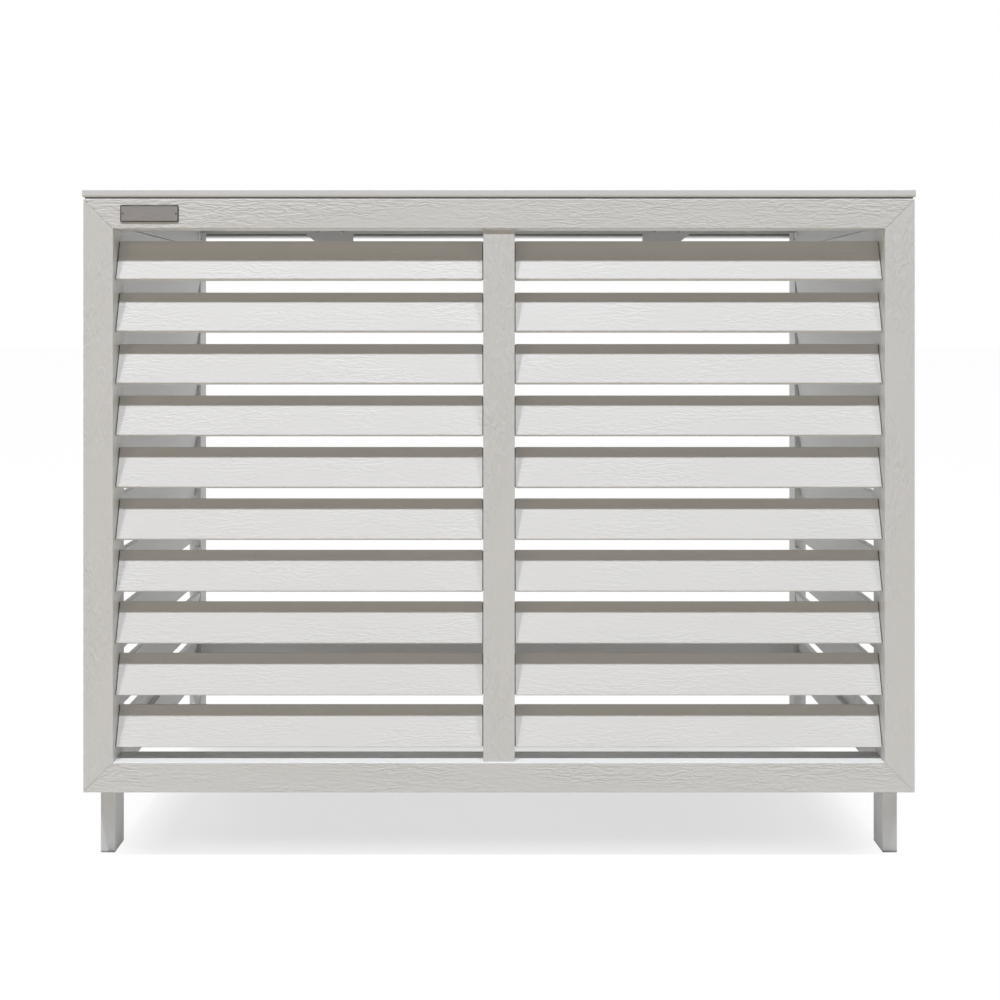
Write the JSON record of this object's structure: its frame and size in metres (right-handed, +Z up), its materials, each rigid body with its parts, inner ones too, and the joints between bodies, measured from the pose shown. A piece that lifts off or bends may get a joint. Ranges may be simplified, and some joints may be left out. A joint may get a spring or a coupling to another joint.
{
  "type": "air conditioner screen",
  "caption": "Free-standing louvred aluminium cover for an outdoor air conditioner unit, with a hinged lid and a pull-off front panel.",
  "frame": {"origin": "on the floor, under the middle of the whole", "axes": "+Z up, -Y out of the louvred front, +X to the right as seen from the front"},
  "size_m": [1.0034, 0.5197, 0.8144],
  "materials": {
    "coated_aluminium": "pale grey powder coat, embossed with a fine wood grain, satin",
    "mill_aluminium": "mill finish",
    "clip_nylon": "moulded dark grey nylon",
    "foot_plastic": "moulded grey plastic",
    "pad_rubber": "matt",
    "stainless_steel": "turned and pressed",
    "hinge_steel": "pressed and rolled sheet",
    "plate_aluminium": "brushed and anodised grey"
  },
  "bodies": {
    "cabinet": {"left_front_leg": "coated_aluminium", "right_front_leg": "coated_aluminium", "left_rear_leg": "coated_aluminium", "right_rear_leg": "coated_aluminium", "left_side_top_rail": "coated_aluminium", "right_side_top_rail": "coated_aluminium", "left_side_bottom_rail": "coated_aluminium", "right_side_bottom_rail": "coated_aluminium", "left_side_slats": "coated_aluminium", "right_side_slats": "coated_aluminium", "left_side_slat_clips": "clip_nylon", "right_side_slat_clips": "clip_nylon", "side_corner_cleats": "mill_aluminium", "foot_plugs": "foot_plastic", "rear_top_rail": "coated_aluminium", "rear_lower_rail": "coated_aluminium", "rail_spigots": "mill_aluminium", "frame_screws": "stainless_steel", "catch_studs": "stainless_steel", "lid_pads": "pad_rubber", "hinge_fixed_leaves": "hinge_steel", "hinge_pins": "stainless_steel", "hinge_screws": "stainless_steel"},
    "front_panel": {"left_front_stile": "coated_aluminium", "right_front_stile": "coated_aluminium", "front_top_rail": "coated_aluminium", "front_bottom_rail": "coated_aluminium", "front_mullion": "coated_aluminium", "mullion_spigots": "mill_aluminium", "front_corner_cleats": "mill_aluminium", "left_bay_slat_01": "coated_aluminium", "left_bay_slat_02": "coated_aluminium", "left_bay_slat_03": "coated_aluminium", "left_bay_slat_04": "coated_aluminium", "left_bay_slat_05": "coated_aluminium", "left_bay_slat_06": "coated_aluminium", "left_bay_slat_07": "coated_aluminium", "left_bay_slat_08": "coated_aluminium", "left_bay_slat_09": "coated_aluminium", "left_bay_slat_10": "coated_aluminium", "right_bay_slat_01": "coated_aluminium", "right_bay_slat_02": "coated_aluminium", "right_bay_slat_03": "coated_aluminium", "right_bay_slat_04": "coated_aluminium", "right_bay_slat_05": "coated_aluminium", "right_bay_slat_06": "coated_aluminium", "right_bay_slat_07": "coated_aluminium", "right_bay_slat_08": "coated_aluminium", "right_bay_slat_09": "coated_aluminium", "right_bay_slat_10": "coated_aluminium", "left_stile_slat_clips": "clip_nylon", "right_stile_slat_clips": "clip_nylon", "mullion_slat_clips": "clip_nylon", "name_plate": "plate_aluminium", "name_plate_rivets": "stainless_steel", "catch_sockets": "clip_nylon"},
    "lid": {"lid_tray": "coated_aluminium", "lid_battens": "coated_aluminium", "hinge_moving_leaves": "hinge_steel", "lid_rivets": "stainless_steel"}
  },
  "joints": [
    {"name": "lid_hinge", "type": "hinge", "parent": "cabinet", "child": "lid", "pos_m": [0, 0.2566, 0.81145], "axis": [-1, 0, 0], "range_deg": [0, 90]},
    {"name": "front_panel_pull", "type": "slide", "parent": "cabinet", "child": "front_panel", "axis": [0, -1, 0], "range_m": [0, 0.018]}
  ]
}
